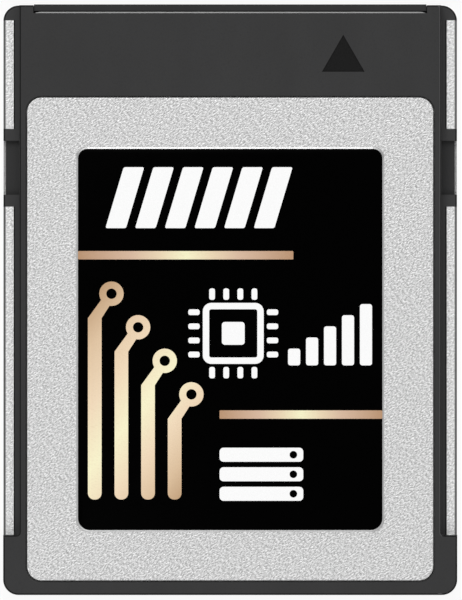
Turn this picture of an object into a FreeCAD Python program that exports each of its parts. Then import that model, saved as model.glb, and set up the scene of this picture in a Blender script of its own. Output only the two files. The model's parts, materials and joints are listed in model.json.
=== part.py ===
import FreeCAD, Part
import math
import os

Vec = FreeCAD.Vector

# A camera memory card, lying on its bottom cover, in millimetres.
# X runs across the card, +Y points to the contact end, +Z out of the label side.
# The origin is the middle of the card's underside.

# Card envelope
card_width = 29.6
card_length = 38.5
card_thickness = 3.8
corner_radius = 1.0
edge_round = 0.12
underside_chamfer = 0.12

# Stepped sides: a full-width grip at the rear, guide rails in front of it
rear_grip_length = 3.9
front_corner_length = 0.97
rail_width = 1.05
rail_height = 2.4
step_corner_radius = 0.2

# Latch notch in each rail, between two plastic pads, measured back from the front
pad_start = 8.1
pad_length = 0.78
notch_length = 3.52
notch_drop = 0.4
notch_sill = 0.4

# Bottom cover: a folded tray that wraps the rails
sheet_thickness = 0.15
sheet_bend_radius = 0.2
flange_width = 0.67
flange_gap = 0.085
sheet_fit = 0.02

# Top cover: a stamped plate, its panel raised into the frame's window
cover_thickness = 0.2
cover_rim_width = 0.2
cover_rim_drop = 0.2
panel_recess = 0.04
panel_gap = 0.05
panel_edge_chamfer = 0.06
window_side_margin = 1.494
window_front_margin = 6.005
window_rear_margin = 0.875
window_corner_radius = 1.0
window_edge_chamfer = 0.05

# Label and the raised pad of the panel under it
label_side_margin = 4.88
label_front_margin = 9.42
label_rear_margin = 4.235
label_front_radius = 0.62
label_rear_radius = 0.77
label_thickness = 0.05
label_pad_height = 0.03
label_pad_slope = 0.12
print_thickness = 0.02

# Front mouth: the connector's lip stands in a recess of the frame's front edge
mouth_recess_margin = 1.97
mouth_recess_depth = 0.57
lip_depth = 0.42
lip_gap = 0.04
lip_projection = 0.05
lip_drop = 0.14

# Connector moulding
pocket_fit = 0.04
pocket_floor = 0.35
mouth_side_wall = 1.09
mouth_depth = 4.25
mouth_roof = 0.28
mouth_floor_drop = 0.2
mouth_chamfer = 0.2
rear_wall = 0.95
overhang = 1.2
peg_diameter = 0.9
peg_fit = 0.05
peg_inset = 0.95

# Contacts, spread evenly across the mouth
contact_count = 20
contact_end_margin = 1.25
contact_width = 0.6
contact_thickness = 0.15
contact_groove_depth = 0.12
contact_groove_fit = 0.02
contact_setback = 1.35
ground_contact_reach = 0.5
ground_contact_every = 3
contact_tail_length = 0.9
contact_nose = 0.06

# Circuit board and its shelf in the frame
board_thickness = 0.8
board_level = 1.35
board_front_setback = 5.25
board_fit = 0.1
board_corner_radius = 0.5
board_side_wall = 0.8
board_rear_wall = 1.3
shelf_width = 0.75
notch_rib_radius = 0.45
notch_rib_fit = 0.05
notch_rib_setback = 27.25

# Parts on the board
chip_edge = 0.12
chip_spacing = 0.1
chip_zone_margin = 0.5
logic_zone_length = 13.4
controller_size = 8.6
cache_width = 8.0
cache_length = 9.6
thermal_pad_upper = 0.35
thermal_pad_lower = 0.3
thermal_pad_margin = 1.6
thermal_pad_gap = 0.4
pin_one_diameter = 0.7
pin_one_depth = 0.06
pin_one_inset = 0.9

# Arrow sunk into the front bar
arrow_side = 2.78
arrow_offset = 7.37
arrow_base_setback = 4.39
arrow_depth = 0.08

# Print, drawn on a sheet that is fitted to the label.
# Its places are counted across and down from the sheet's upper left corner.

# White slashes in the head field
slash_count = 6
slash_pitch = 1.95
slash_width = 1.35
slash_height = 4.0
slash_lean = 1.2
slash_across = 1.8
slash_down = 1.2

# Gold stripes, the upper from the sheet's left edge and the lower to its right edge
stripe_height = 0.55
upper_stripe_gap = 1.5
upper_stripe_length = 14.15
lower_stripe_gap = 1.075
lower_stripe_length = 10.7
foot_field_length = 7.3

# Gold traces: parallel lines that jog aside and end in eight-sided pads
trace_count = 4
trace_width = 0.9
trace_pitch = 1.75
trace_across = 1.1
trace_head_gap = 2.25
trace_foot_inset = 2.0
trace_stagger = 2.2
trace_reach = 1.6
trace_jog = 1.1
trace_pad_half = 0.775
trace_hole_half = 0.325

# White pictogram of a chip
chip_head_gap = 1.9
chip_foot_gap = 2.1
chip_offset = 1.975
chip_half = 2.0
chip_line = 0.42
chip_core_half = 0.75
chip_corner_cut = 0.4
chip_pins_each_side = 4
chip_pin_gap = 0.2
chip_pin_length = 0.75
chip_pin_width = 0.38

# White bars of rising height
level_count = 5
level_pitch = 1.18
level_width = 0.8
level_gap = 0.65
level_drop = 2.1
level_lowest = 1.1
level_rise = 0.73

# White pictogram of stacked plates, each with an eye
plate_count = 3
plate_pitch = 1.28
plate_height = 0.92
plate_length = 5.5
plate_gap = 1.9
plate_corner_cut = 0.22
plate_eye_half = 0.23
plate_eye_inset = 0.65

# Small parts soldered to the board: across, along, height, chamfer of the upright edges
small_part_sizes = {
    "power_chip": (3.0, 3.0, 0.75, 0.0),
    "inductor": (1.6, 2.0, 0.9, 0.2),
    "crystal": (2.0, 1.6, 0.5, 0.12),
    "capacitor": (1.0, 0.5, 0.5, 0.0),
    "resistor": (1.0, 0.5, 0.35, 0.0),
}

# Rows of them, each spread evenly beside the chip in the middle:
# names, kind, side of the card, distance along from the logic zone's middle, upper or lower face
small_part_rows = [
    (["power_chip"], "power_chip", -1, 2.4, 1),
    (["capacitor_1", "capacitor_2"], "capacitor", -1, 0.0, 1),
    (["inductor_1", "inductor_2", "inductor_3"], "inductor", -1, -2.2, 1),
    (["crystal"], "crystal", 1, 2.6, 1),
    (["capacitor_3", "capacitor_4"], "capacitor", 1, 0.8, 1),
    (["resistor_1", "resistor_2"], "resistor", 1, -0.6, 1),
    (["resistor_3", "resistor_4"], "resistor", 1, -2.0, 1),
    (["capacitor_5", "capacitor_6"], "capacitor", -1, 1.6, -1),
    (["capacitor_7", "capacitor_8"], "capacitor", 1, 1.6, -1),
]

half_width = card_width / 2
front_tip = card_length / 2
front_face = front_tip - lip_projection
rear_face = -card_length / 2
body_half = half_width - rail_width
grip_front = rear_face + rear_grip_length
corner_rear = front_face - front_corner_length

label_top = card_thickness - print_thickness
label_bottom = label_top - label_thickness
panel_top = label_bottom - label_pad_height
panel_bottom = panel_top - cover_thickness
frame_top = panel_top + panel_recess
rim_top = panel_top - cover_rim_drop
rim_bottom = rim_top - cover_thickness

window_half = half_width - window_side_margin
window_front = front_tip - window_front_margin
window_rear = rear_face + window_rear_margin
recess_half = half_width - mouth_recess_margin
recess_rear = front_tip - mouth_recess_depth
rim_half = window_half + cover_rim_width
rim_rear = window_rear - cover_rim_width
rim_front = front_tip - lip_depth - lip_gap

board_bottom = board_level
board_top = board_bottom + board_thickness
board_front = front_tip - board_front_setback
cavity_half = body_half - board_side_wall
cavity_rear = rear_face + board_rear_wall
shelf_half = cavity_half - shelf_width
board_half = cavity_half - board_fit
board_rear = cavity_rear + board_fit
rib_y = front_tip - notch_rib_setback

pads_front = front_tip - pad_start
notch_front = pads_front - pad_length
notch_rear = notch_front - notch_length
pads_rear = notch_rear - pad_length
notch_floor = rail_height - notch_drop
low_wall_top = notch_floor - notch_sill

connector_half = recess_half - pocket_fit
connector_top = rim_bottom - pocket_fit
connector_rear = board_front - overhang
lip_top = frame_top - lip_drop
mouth_half = connector_half - mouth_side_wall
mouth_end = front_tip - mouth_depth
mouth_floor = board_top - mouth_floor_drop
mouth_top = connector_top - mouth_roof
contact_pitch = 2 * (mouth_half - contact_end_margin) / (contact_count - 1)
peg_x = connector_half - peg_inset
peg_y = (connector_rear + board_front) / 2

label_half = half_width - label_side_margin
label_front = front_tip - label_front_margin
label_rear = rear_face + label_rear_margin

upper_stripe_down = slash_down + slash_height + upper_stripe_gap
upper_stripe_foot = upper_stripe_down + stripe_height
chip_reach = chip_half + chip_pin_gap + chip_pin_length
chip_down = upper_stripe_foot + chip_head_gap + chip_reach
lower_stripe_down = chip_down + chip_reach + chip_foot_gap
lower_stripe_foot = lower_stripe_down + stripe_height
traces_right = trace_across + (trace_count - 1) * trace_pitch + trace_jog + trace_pad_half
lower_stripe_left = traces_right + lower_stripe_gap
chip_across = traces_right + chip_offset
level_across = chip_across + chip_reach + level_gap
sheet_width = lower_stripe_left + lower_stripe_length
sheet_length = lower_stripe_foot + foot_field_length

through = card_thickness


def rounded_face(corners, plane="XY"):
    # A flat face from corners (a, b, radius), each rounded by a tangent arc of its own radius
    place = {
        "XY": lambda a, b: Vec(a, b, 0),
        "XZ": lambda a, b: Vec(a, 0, b),
        "YZ": lambda a, b: Vec(0, a, b),
    }[plane]
    points = [place(a, b) for a, b, _ in corners]
    ends = []
    for i, (_, _, radius) in enumerate(corners):
        here = points[i]
        back = (points[i - 1] - here).normalize()
        ahead = (points[(i + 1) % len(points)] - here).normalize()
        if radius <= 0:
            ends.append((here, None, here))
            continue
        half_angle = back.getAngle(ahead) / 2
        reach = radius / math.tan(half_angle)
        inward = (back + ahead).normalize()
        middle = here + inward * (radius / math.sin(half_angle) - radius)
        ends.append((here + back * reach, middle, here + ahead * reach))
    edges = []
    for i, (start, middle, end) in enumerate(ends):
        if middle is not None:
            edges.append(Part.Arc(start, middle, end).toShape())
        following = ends[(i + 1) % len(ends)][0]
        if (following - end).Length > 1e-6:
            edges.append(Part.makeLine(end, following))
    return Part.Face(Part.Wire(edges))


def slab(corners, low, high):
    face = rounded_face(corners)
    face.translate(Vec(0, 0, low))
    return face.extrude(Vec(0, 0, high - low))


def bar(corners, rear, front):
    # Cross-section in X and Z, run along Y
    face = rounded_face(corners, "XZ")
    face.translate(Vec(0, rear, 0))
    return face.extrude(Vec(0, front - rear, 0))


def rectangle(x0, x1, y0, y1, radius=0.0):
    return [(x0, y0, radius), (x1, y0, radius), (x1, y1, radius), (x0, y1, radius)]


def box(x0, x1, y0, y1, z0, z1):
    return slab(rectangle(x0, x1, y0, y1), z0, z1)


def disc(x, y, radius, z0, z1):
    return Part.makeCylinder(radius, z1 - z0, Vec(x, y, z0))


def rim_edges(shape, level):
    # Every edge that lies flat in the plane at this height
    flat = []
    for edge in shape.Edges:
        bounds = edge.BoundBox
        if abs(bounds.ZMin - level) < 1e-4 and abs(bounds.ZMax - level) < 1e-4:
            flat.append(edge)
    return flat


def both_sides(shape):
    return [shape, shape.mirror(Vec(0, 0, 0), Vec(1, 0, 0))]


def frame_blank():
    # The T-shaped body: narrow between the rails, full width at the grip
    upper = slab(
        [
            (-half_width, rear_face, corner_radius),
            (half_width, rear_face, corner_radius),
            (half_width, grip_front, 0),
            (body_half, grip_front, step_corner_radius),
            (body_half, front_face, 0),
            (-body_half, front_face, 0),
            (-body_half, grip_front, step_corner_radius),
            (-half_width, grip_front, 0),
        ],
        0,
        frame_top,
    )
    upper = upper.makeFillet(edge_round, rim_edges(upper, frame_top))
    rails = slab(
        [
            (-half_width, grip_front - corner_radius, 0),
            (half_width, grip_front - corner_radius, 0),
            (half_width, front_face, corner_radius),
            (-half_width, front_face, corner_radius),
        ],
        0,
        rail_height,
    )
    outer_edges = [e for e in rim_edges(rails, rail_height) if e.CenterOfMass.y > grip_front]
    rails = rails.makeFillet(edge_round, outer_edges)
    blank = upper.fuse(rails).removeSplitter()
    return blank.makeChamfer(underside_chamfer, rim_edges(blank, 0))


def tray_seat():
    # What the frame gives up so that the bottom cover's floor, walls and flanges sit flush
    inner = half_width - sheet_thickness - sheet_fit
    flange_inner = half_width - flange_width - flange_gap
    rail_top = rail_height - sheet_thickness - sheet_fit
    inner_bend = sheet_bend_radius - sheet_thickness
    above = rail_height + through
    under_flange = [
        (-inner, sheet_thickness, inner_bend),
        (inner, sheet_thickness, inner_bend),
        (inner, rail_top, inner_bend),
        (flange_inner, rail_top, 0),
        (flange_inner, above, 0),
        (-flange_inner, above, 0),
        (-flange_inner, rail_top, 0),
        (-inner, rail_top, inner_bend),
    ]
    ledge = low_wall_top + sheet_fit
    beside_notch = [
        (-inner, sheet_thickness, inner_bend),
        (inner, sheet_thickness, inner_bend),
        (inner, ledge, 0),
        (half_width, ledge, 0),
        (half_width, above, 0),
        (-half_width, above, 0),
        (-half_width, ledge, 0),
        (-inner, ledge, 0),
    ]
    spans = [
        (under_flange, grip_front, pads_rear),
        (beside_notch, pads_rear, pads_front),
        (under_flange, pads_front, corner_rear),
    ]
    seat = []
    for section, rear, front in spans:
        around = box(-card_width, card_width, rear, front, -through, rail_height)
        kept = bar(section, rear, front)
        seat.append(around.cut(kept))
    return seat


def latch_notches():
    outer = half_width - sheet_thickness - sheet_fit
    floor_cut = box(body_half, card_width, notch_rear, notch_front, notch_floor, rail_height + edge_round)
    side_cut = box(outer, card_width, notch_rear, notch_front, 0, rail_height)
    return both_sides(floor_cut.fuse(side_cut))


def top_cover_seat():
    window = slab(
        rectangle(-window_half, window_half, window_rear, window_front, window_corner_radius),
        rim_top,
        frame_top + through,
    )
    rim_radius = window_corner_radius + cover_rim_width
    groove = slab(
        [
            (-rim_half - sheet_fit, rim_rear - sheet_fit, rim_radius),
            (rim_half + sheet_fit, rim_rear - sheet_fit, rim_radius),
            (rim_half + sheet_fit, window_front + rim_radius, 0),
            (recess_half, window_front + rim_radius, 0),
            (recess_half, front_face + through, 0),
            (-recess_half, front_face + through, 0),
            (-recess_half, window_front + rim_radius, 0),
            (-rim_half - sheet_fit, window_front + rim_radius, 0),
        ],
        rim_bottom,
        rim_top + sheet_fit,
    )
    above = frame_top + through
    recess = box(-recess_half, recess_half, recess_rear, front_face + through, rim_bottom, above)
    return [window, groove, recess]


def frame_hollow():
    board_room = slab(
        [
            (-cavity_half, cavity_rear, board_corner_radius),
            (cavity_half, cavity_rear, board_corner_radius),
            (cavity_half, board_front + board_fit, 0),
            (-cavity_half, board_front + board_fit, 0),
        ],
        board_bottom,
        rim_bottom,
    )
    lower_room = box(-shelf_half, shelf_half, grip_front, board_front + board_fit, 0, board_bottom)
    shelf_rear = cavity_rear + shelf_width
    grip_room = box(-shelf_half, shelf_half, shelf_rear, grip_front, pocket_floor, board_bottom)
    pocket = box(-recess_half, recess_half, board_front, front_face + through, pocket_floor, rim_bottom)
    return [board_room, lower_room, grip_room, pocket]


def arrow_cut():
    base_y = front_tip - arrow_base_setback
    tip_y = base_y + arrow_side * math.sin(math.radians(60))
    triangle = [
        (arrow_offset - arrow_side / 2, base_y, 0),
        (arrow_offset + arrow_side / 2, base_y, 0),
        (arrow_offset, tip_y, 0),
    ]
    return slab(triangle, frame_top - arrow_depth, frame_top + through)


def board_ribs():
    # Half-round ribs that stand in the board's side notches
    rib = disc(cavity_half, rib_y, notch_rib_radius, board_bottom, board_top)
    wall = box(cavity_half - card_width, body_half, rear_face, front_face, 0, rim_bottom)
    return both_sides(rib.common(wall))


def frame():
    cuts = tray_seat() + latch_notches() + top_cover_seat() + frame_hollow() + [arrow_cut()]
    body = frame_blank().cut(cuts)
    body = body.fuse(board_ribs()).removeSplitter()
    window_edges = [
        e
        for e in rim_edges(body, frame_top)
        if abs(e.CenterOfMass.x) < window_half + edge_round
        and window_rear - edge_round < e.CenterOfMass.y < window_front + edge_round
    ]
    return body.makeChamfer(window_edge_chamfer, window_edges)


def bottom_cover():
    bend = sheet_bend_radius
    inner_bend = bend - sheet_thickness
    flange_end = half_width - flange_width
    top = rail_height
    outside = [(-half_width, 0, bend), (half_width, 0, bend), (half_width, top, bend)]
    outside += [(flange_end, top, 0), (flange_end, top - sheet_thickness, 0)]
    wall = half_width - sheet_thickness
    inside = [(wall, top - sheet_thickness, inner_bend), (wall, sheet_thickness, inner_bend)]
    right = outside[1:] + inside
    left = [(-x, z, r) for x, z, r in reversed(right)]
    tray = bar(right + left, grip_front, corner_rear)
    over_wall = box(-card_width, card_width, pads_rear, pads_front, low_wall_top, top + through)
    return tray.cut(over_wall)


def top_cover():
    panel_half = window_half - panel_gap
    panel_radius = window_corner_radius - panel_gap
    panel = slab(
        rectangle(
            -panel_half, panel_half, window_rear + panel_gap, window_front - panel_gap, panel_radius
        ),
        rim_bottom,
        panel_top,
    )
    panel = panel.makeChamfer(panel_edge_chamfer, rim_edges(panel, panel_top))
    rim_radius = window_corner_radius + cover_rim_width
    rim = slab(
        [
            (-rim_half, rim_rear, rim_radius),
            (rim_half, rim_rear, rim_radius),
            (rim_half, window_front + cover_rim_width, 0),
            (connector_half, window_front + cover_rim_width, 0),
            (connector_half, rim_front, 0),
            (-connector_half, rim_front, 0),
            (-connector_half, window_front + cover_rim_width, 0),
            (-rim_half, window_front + cover_rim_width, 0),
        ],
        rim_bottom,
        rim_top,
    )
    wall = cover_thickness
    under_panel = slab(
        rectangle(
            -panel_half + wall,
            panel_half - wall,
            window_rear + panel_gap + wall,
            window_front - panel_gap - wall,
            panel_radius - wall,
        ),
        rim_bottom - through,
        panel_bottom,
    )
    return panel.fuse(rim).cut(under_panel).fuse(label_pad()).removeSplitter()


def label_pad():
    # The panel's own raised field, with sloping sides, that carries the label
    top = rounded_face(label_outline(0))
    top.translate(Vec(0, 0, label_bottom))
    foot = rounded_face(label_outline(label_pad_slope))
    foot.translate(Vec(0, 0, panel_top))
    return Part.makeLoft([foot.OuterWire, top.OuterWire], True, True)


def label_outline(margin):
    side = label_half + margin
    rear = (label_rear - margin, label_rear_radius + margin)
    front = (label_front + margin, label_front_radius + margin)
    return [(-side, *rear), (side, *rear), (side, *front), (-side, *front)]


def label():
    return slab(label_outline(0), label_bottom, label_top)


def contact_x(index):
    return (index - (contact_count - 1) / 2) * contact_pitch


def connector_housing():
    body = box(-connector_half, connector_half, connector_rear, front_tip, pocket_floor, connector_top)
    lip = box(-connector_half, connector_half, front_tip - lip_depth, front_tip, pocket_floor, lip_top)
    body = body.fuse(lip).removeSplitter()
    mouth = box(-mouth_half, mouth_half, mouth_end, front_tip, mouth_floor, mouth_top)
    board_step = box(
        -card_width,
        card_width,
        connector_rear - through,
        board_front + peg_fit,
        0,
        board_top,
    )
    body = body.cut([mouth, board_step])
    mouth_edges = [
        e
        for e in body.Edges
        if abs(e.BoundBox.YMin - front_tip) < 1e-4
        and abs(e.BoundBox.YMax - front_tip) < 1e-4
        and abs(e.CenterOfMass.x) < mouth_half + 1e-4
        and mouth_floor - 1e-4 < e.CenterOfMass.z < mouth_top + 1e-4
    ]
    body = body.makeChamfer(mouth_chamfer, mouth_edges)
    grooves = [contact_groove(contact_x(i)) for i in range(contact_count)]
    pegs = both_sides(disc(peg_x, peg_y, peg_diameter / 2, board_bottom, board_top))
    return body.cut(grooves).fuse(pegs).removeSplitter()


def contact_levels():
    groove_floor = mouth_floor - contact_groove_depth
    return groove_floor, board_top


def contact_groove(x):
    half = contact_width / 2 + contact_groove_fit
    low, tail = contact_levels()
    front = front_tip - contact_setback + ground_contact_reach + contact_groove_fit
    over_floor = mouth_floor + contact_groove_fit
    along_floor = box(x - half, x + half, mouth_end - rear_wall, front, low, over_floor)
    over_board = box(
        x - half,
        x + half,
        connector_rear - through,
        mouth_end,
        low,
        tail + contact_thickness + contact_groove_fit,
    )
    return along_floor.fuse(over_board)


def contact(index):
    # A strip: a flat blade in the mouth, a jog through the rear wall, a tail on the board
    low, high = contact_levels()
    is_ground = index % ground_contact_every == 0
    tip = front_tip - contact_setback + (ground_contact_reach if is_ground else 0)
    tail_end = connector_rear - contact_tail_length
    jog_front = mouth_end - contact_groove_fit
    jog_rear = board_front + peg_fit
    thick = contact_thickness
    profile = [
        (tip, low, 0),
        (tip, low + thick - contact_nose, 0),
        (tip - contact_nose, low + thick, 0),
        (jog_front, low + thick, 0),
        (jog_rear, high + thick, 0),
        (tail_end, high + thick, 0),
        (tail_end, high, 0),
        (jog_rear, high, 0),
        (jog_front, low, 0),
    ]
    face = rounded_face(profile, "YZ")
    face.translate(Vec(contact_x(index) - contact_width / 2, 0, 0))
    return face.extrude(Vec(contact_width, 0, 0))


def circuit_board():
    board = slab(
        rectangle(-board_half, board_half, board_rear, board_front, board_corner_radius),
        board_bottom,
        board_top,
    )
    notch = disc(cavity_half, rib_y, notch_rib_radius + notch_rib_fit, 0, card_thickness)
    peg_hole = disc(peg_x, peg_y, peg_diameter / 2 + peg_fit, 0, card_thickness)
    return board.cut(both_sides(notch) + both_sides(peg_hole))


def package(x0, x1, y0, y1, z0, z1, marked_side):
    # A moulded chip with chamfered top edges and a round pin-one dimple on its marked side
    body = box(x0, x1, y0, y1, z0, z1)
    face_level = z1 if marked_side > 0 else z0
    body = body.makeChamfer(chip_edge / 2, rim_edges(body, face_level))
    mark_x = x0 + pin_one_inset
    mark_y = y1 - pin_one_inset
    low, high = face_level - pin_one_depth, face_level + pin_one_depth
    return body.cut(disc(mark_x, mark_y, pin_one_diameter / 2, low, high))


def upper_chip_levels():
    return board_top, panel_bottom - thermal_pad_upper


def lower_chip_levels():
    return sheet_thickness + thermal_pad_lower, board_bottom


def logic_rear():
    return board_front - logic_zone_length


def flash_chips():
    # Storage packages fill the rear of the board, two on each face
    outer = shelf_half - chip_spacing
    rear = board_rear + chip_zone_margin + shelf_width
    front = logic_rear()
    inner = chip_spacing / 2
    upper = upper_chip_levels()
    lower = lower_chip_levels()
    return {
        "flash_chip_1": package(-outer, -inner, rear, front, *upper, 1),
        "flash_chip_2": package(inner, outer, rear, front, *upper, 1),
        "flash_chip_3": package(-outer, -inner, rear, front, *lower, -1),
        "flash_chip_4": package(inner, outer, rear, front, *lower, -1),
    }


def logic_middle():
    # Midway between the storage packages and the contact tails
    return (logic_rear() + connector_rear - contact_tail_length) / 2


def logic_chips():
    middle = logic_middle()
    half = controller_size / 2
    lower_middle = (logic_rear() + board_front) / 2
    return {
        "controller_chip": package(
            -half, half, middle - half, middle + half, *upper_chip_levels(), 1
        ),
        "cache_chip": package(
            -cache_width / 2,
            cache_width / 2,
            lower_middle - cache_length / 2,
            lower_middle + cache_length / 2,
            *lower_chip_levels(),
            -1,
        ),
    }


def small_part(kind, x, y, face_side):
    across, deep, height, corner_cut = small_part_sizes[kind]
    low = board_top if face_side > 0 else board_bottom - height
    body = box(x - across / 2, x + across / 2, y - deep / 2, y + deep / 2, low, low + height)
    if corner_cut > 0:
        upright = [e for e in body.Edges if e.BoundBox.ZLength > height / 2]
        body = body.makeChamfer(corner_cut, upright)
    return body


def small_parts():
    made = {}
    for names, kind, side, along, face_side in small_part_rows:
        middle_chip = controller_size if face_side > 0 else cache_width
        inner = middle_chip / 2 + chip_spacing
        pitch = (shelf_half - inner) / len(names)
        for i, name in enumerate(names):
            x = side * (inner + pitch * (i + 0.5))
            made[name] = small_part(kind, x, logic_middle() + along, face_side)
    return made


def thermal_pads():
    across = shelf_half - thermal_pad_margin
    upper_front = logic_middle() + controller_size / 2
    upper = box(
        -across,
        across,
        board_rear + chip_zone_margin + shelf_width + thermal_pad_margin,
        upper_front,
        upper_chip_levels()[1],
        panel_bottom,
    )
    lower = box(
        -across,
        across,
        grip_front + thermal_pad_gap,
        logic_rear(),
        sheet_thickness,
        lower_chip_levels()[0],
    )
    return {"upper_thermal_pad": upper, "lower_thermal_pad": lower}


def printed(points, low=label_top):
    # A thin field of print, from points across and down the sheet
    across = 2 * label_half / sheet_width
    down = (label_front - label_rear) / sheet_length
    corners = [(-label_half + a * across, label_front - b * down, 0) for a, b in points]
    return slab(corners, low, card_thickness)


def field(left, right, top, bottom, cut=0.0):
    # Corners of an upright rectangle, each cut off at a slant where a cut is given
    if cut <= 0:
        return [(left, bottom), (right, bottom), (right, top), (left, top)]
    return [
        (left, bottom - cut),
        (left + cut, bottom),
        (right - cut, bottom),
        (right, bottom - cut),
        (right, top + cut),
        (right - cut, top),
        (left + cut, top),
        (left, top + cut),
    ]


def square(across, down, half, cut=0.0):
    return field(across - half, across + half, down - half, down + half, cut)


def octagon(across, down, half):
    return square(across, down, half, half * (2 - math.sqrt(2)))


def opened(solid, outline):
    return solid.cut(printed(outline, label_bottom))


def trace(index):
    foot = trace_across + index * trace_pitch
    end = foot + trace_jog
    foot_down = sheet_length - trace_foot_inset
    head_down = upper_stripe_foot + trace_head_gap + index * trace_stagger
    knee = head_down + trace_reach
    half = trace_width / 2
    # Shifting the knees keeps the slanted run as wide as the straight ones
    shift = half * math.tan(math.radians(22.5))
    line = printed(
        [
            (foot - half, foot_down),
            (foot + half, foot_down),
            (foot + half, knee + trace_jog + shift),
            (end + half, knee + shift),
            (end + half, head_down),
            (end - half, head_down),
            (end - half, knee - shift),
            (foot - half, knee + trace_jog - shift),
        ]
    )
    ends = [(foot, foot_down), (end, head_down)]
    line = line.fuse([printed(octagon(*at, trace_pad_half)) for at in ends]).removeSplitter()
    for at in ends:
        line = opened(line, octagon(*at, trace_hole_half))
    return line


def gold_foil():
    upper = printed(field(0, upper_stripe_length, upper_stripe_down, upper_stripe_foot))
    lower = printed(field(lower_stripe_left, sheet_width, lower_stripe_down, lower_stripe_foot))
    return [upper, lower] + [trace(i) for i in range(trace_count)]


def slashes():
    made = []
    bottom = slash_down + slash_height
    for i in range(slash_count):
        left = slash_across + i * slash_pitch
        right = left + slash_width
        foot = [(left, bottom), (right, bottom)]
        head = [(right + slash_lean, slash_down), (left + slash_lean, slash_down)]
        made.append(printed(foot + head))
    return made


def chip_pictogram():
    body = printed(square(chip_across, chip_down, chip_half, chip_corner_cut))
    inside = square(chip_across, chip_down, chip_half - chip_line, chip_corner_cut / 2)
    made = [opened(body, inside), printed(square(chip_across, chip_down, chip_core_half))]
    pin_pitch = 2 * chip_half / chip_pins_each_side
    near = chip_half + chip_pin_gap
    for i in range(chip_pins_each_side):
        low = (i - (chip_pins_each_side - 1) / 2) * pin_pitch - chip_pin_width / 2
        high = low + chip_pin_width
        for out in (near, -near - chip_pin_length):
            far = out + chip_pin_length
            for left, right, top, bottom in ((out, far, low, high), (low, high, out, far)):
                beside = (chip_across + left, chip_across + right)
                along = (chip_down + top, chip_down + bottom)
                made.append(printed(field(*beside, *along)))
    return made


def level_bars():
    made = []
    foot = chip_down + level_drop
    for i in range(level_count):
        left = level_across + i * level_pitch
        top = foot - level_lowest - i * level_rise
        made.append(printed(field(left, left + level_width, top, foot)))
    return made


def stacked_plates():
    right = lower_stripe_left + plate_length
    made = []
    for i in range(plate_count):
        top = lower_stripe_foot + plate_gap + i * plate_pitch
        bottom = top + plate_height
        plate = printed(field(lower_stripe_left, right, top, bottom, plate_corner_cut))
        made.append(opened(plate, octagon(right - plate_eye_inset, (top + bottom) / 2, plate_eye_half)))
    return made


def white_print():
    return slashes() + chip_pictogram() + level_bars() + stacked_plates()


def parts():
    made = {
        "frame": frame(),
        "top_cover": top_cover(),
        "bottom_cover": bottom_cover(),
        "label": label(),
        "label_gold_foil": Part.makeCompound(gold_foil()),
        "label_white_print": Part.makeCompound(white_print()),
        "circuit_board": circuit_board(),
        "connector_housing": connector_housing(),
    }
    for i in range(contact_count):
        made[f"contact_{i + 1:02d}"] = contact(i)
    made.update(flash_chips())
    made.update(logic_chips())
    made.update(small_parts())
    made.update(thermal_pads())
    return made


os.makedirs("parts", exist_ok=True)
for name, shape in parts().items():
    shape.exportStep(f"parts/{name}.step")
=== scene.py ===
import json
import math

import bmesh
import bpy
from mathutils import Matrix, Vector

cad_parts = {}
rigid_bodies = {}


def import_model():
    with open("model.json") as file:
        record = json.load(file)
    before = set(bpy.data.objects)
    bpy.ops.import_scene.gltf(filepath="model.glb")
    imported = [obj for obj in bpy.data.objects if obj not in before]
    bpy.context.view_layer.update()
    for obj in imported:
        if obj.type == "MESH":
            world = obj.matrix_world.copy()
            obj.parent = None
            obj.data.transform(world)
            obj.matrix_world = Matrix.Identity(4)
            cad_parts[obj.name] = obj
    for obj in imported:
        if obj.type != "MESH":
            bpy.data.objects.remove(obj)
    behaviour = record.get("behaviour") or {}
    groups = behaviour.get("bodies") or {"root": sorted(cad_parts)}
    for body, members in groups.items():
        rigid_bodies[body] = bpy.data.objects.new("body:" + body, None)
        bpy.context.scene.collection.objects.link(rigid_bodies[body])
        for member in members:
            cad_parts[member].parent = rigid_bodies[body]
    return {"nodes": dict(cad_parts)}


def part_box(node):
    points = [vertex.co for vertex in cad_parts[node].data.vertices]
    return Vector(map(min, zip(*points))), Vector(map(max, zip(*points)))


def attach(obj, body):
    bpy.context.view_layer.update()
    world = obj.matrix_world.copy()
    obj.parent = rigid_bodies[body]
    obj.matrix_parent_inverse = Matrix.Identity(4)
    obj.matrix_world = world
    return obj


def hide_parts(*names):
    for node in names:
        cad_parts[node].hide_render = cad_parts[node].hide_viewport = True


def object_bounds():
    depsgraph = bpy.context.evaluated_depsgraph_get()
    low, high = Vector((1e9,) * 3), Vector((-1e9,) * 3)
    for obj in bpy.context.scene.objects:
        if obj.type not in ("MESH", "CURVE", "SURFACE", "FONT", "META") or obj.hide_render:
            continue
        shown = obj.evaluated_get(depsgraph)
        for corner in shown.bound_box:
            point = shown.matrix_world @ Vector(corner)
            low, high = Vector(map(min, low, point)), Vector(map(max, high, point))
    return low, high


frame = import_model()
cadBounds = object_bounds()
nodes = frame["nodes"]
coverLow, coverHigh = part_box("top_cover")
labelLow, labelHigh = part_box("label")

# Everything is in metres in the frame of the CAD model:
# X across the card, +Y to the contact end, +Z out of the label side.
mm = 0.001
tiny = 1e-7           # places closer than this are the same place
smoothBelow = 35      # degrees; sharper edges stay crisp


def deselectAll():
    if bpy.context.object and bpy.context.object.mode == "EDIT":
        bpy.ops.object.mode_set(mode="OBJECT")
    bpy.ops.object.select_all(action="DESELECT")


def startPiece(name):
    # An empty mesh at the origin, open in edit mode
    deselectAll()
    bpy.ops.object.add(type="MESH", enter_editmode=True, location=(0, 0, 0))
    piece = bpy.context.object
    piece.name = name
    piece.data.name = name
    return piece


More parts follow.
